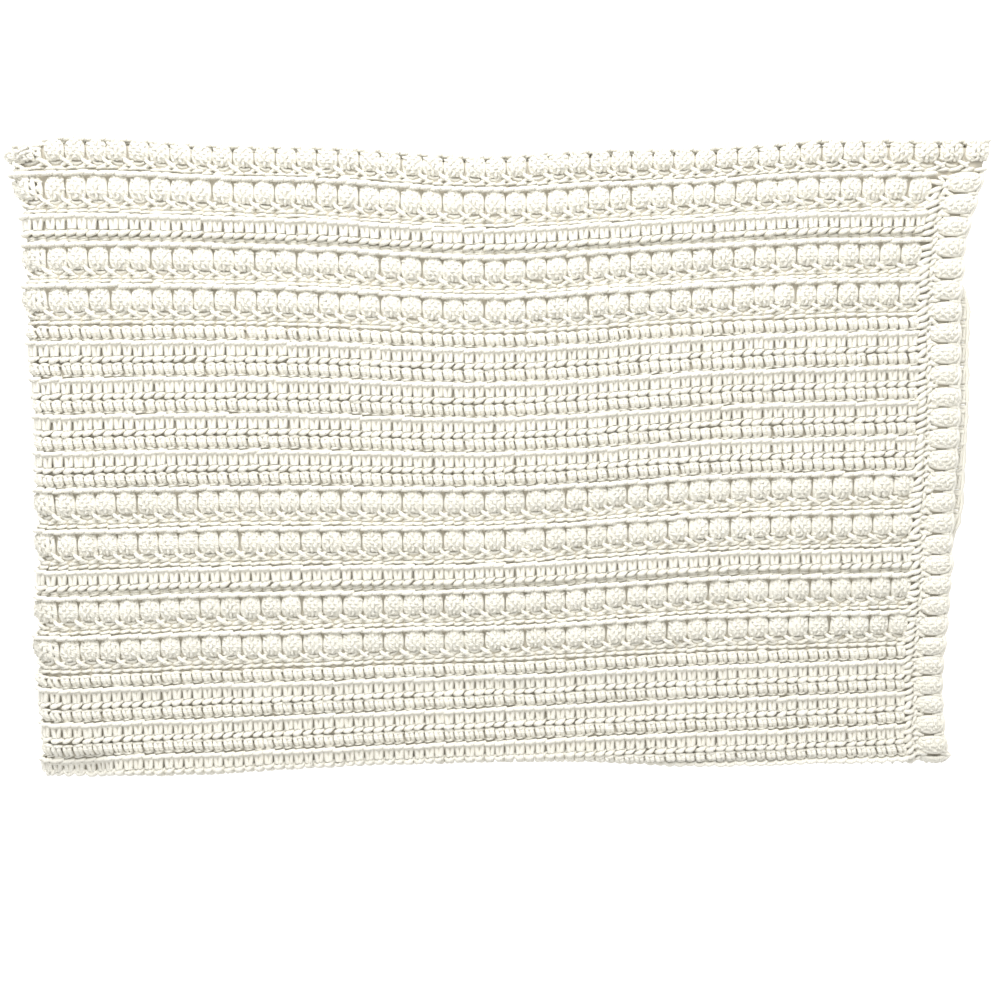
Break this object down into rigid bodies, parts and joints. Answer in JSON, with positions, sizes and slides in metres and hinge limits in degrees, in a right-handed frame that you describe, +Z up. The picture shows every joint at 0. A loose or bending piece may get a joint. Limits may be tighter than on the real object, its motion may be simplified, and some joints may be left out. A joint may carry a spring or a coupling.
{
  "type": "folded throw blanket",
  "caption": "Chunky crocheted throw in cream yarn, folded in four, with rows of bobbles between ridged rows and a puffed border along its free edges.",
  "frame": {"origin": "middle of the folded blanket's footprint, on the surface it lies on", "axes": "+X along the rows from the left folds to the side borders, +Y across the rows from the near folds to the far borders, +Z up"},
  "size_m": [0.7628, 0.5116, 0.0415],
  "materials": {
    "cream_yarn": "soft matt chunky yarn, plied, undyed cream"
  },
  "bodies": {
    "lower_half": {"bottom_bobble_pair_far": "cream_yarn", "bottom_bobble_pair_middle": "cream_yarn", "bottom_bobble_pair_near": "cream_yarn", "bottom_bobble_row_far": "cream_yarn", "bottom_far_border": "cream_yarn", "bottom_ridge_band_middle": "cream_yarn", "bottom_ridge_band_near": "cream_yarn", "bottom_ridge_row_far": "cream_yarn", "bottom_ridge_row_near": "cream_yarn", "bottom_side_border": "cream_yarn", "centre_corner": "cream_yarn", "inner_left_fold": "cream_yarn", "lower_near_fold": "cream_yarn", "outer_left_fold": "cream_yarn", "second_bobble_pair_far": "cream_yarn", "second_bobble_pair_middle": "cream_yarn", "second_bobble_pair_near": "cream_yarn", "second_bobble_row_far": "cream_yarn", "second_far_border": "cream_yarn", "second_ridge_band_middle": "cream_yarn", "second_ridge_band_near": "cream_yarn", "second_ridge_row_far": "cream_yarn", "second_ridge_row_near": "cream_yarn", "second_side_border": "cream_yarn"},
    "upper_half": {"third_bobble_pair_far": "cream_yarn", "third_bobble_pair_middle": "cream_yarn", "third_bobble_pair_near": "cream_yarn", "third_bobble_row_far": "cream_yarn", "third_far_border": "cream_yarn", "third_ridge_band_middle": "cream_yarn", "third_ridge_band_near": "cream_yarn", "third_ridge_row_far": "cream_yarn", "third_ridge_row_near": "cream_yarn", "third_side_border": "cream_yarn", "top_bobble_pair_far": "cream_yarn", "top_bobble_pair_middle": "cream_yarn", "top_bobble_pair_near": "cream_yarn", "top_bobble_row_far": "cream_yarn", "top_far_border": "cream_yarn", "top_ridge_band_middle": "cream_yarn", "top_ridge_band_near": "cream_yarn", "top_ridge_row_far": "cream_yarn", "top_ridge_row_near": "cream_yarn", "top_side_border": "cream_yarn", "upper_near_fold": "cream_yarn"}
  },
  "joints": [
    {"name": "left_fold", "type": "hinge", "parent": "lower_half", "child": "upper_half", "pos_m": [-0.36588, 0, 0.02075], "axis": [0, -1, 0], "range_deg": [0, 179.5], "deforming": ["outer_left_fold", "inner_left_fold", "centre_corner"]}
  ]
}
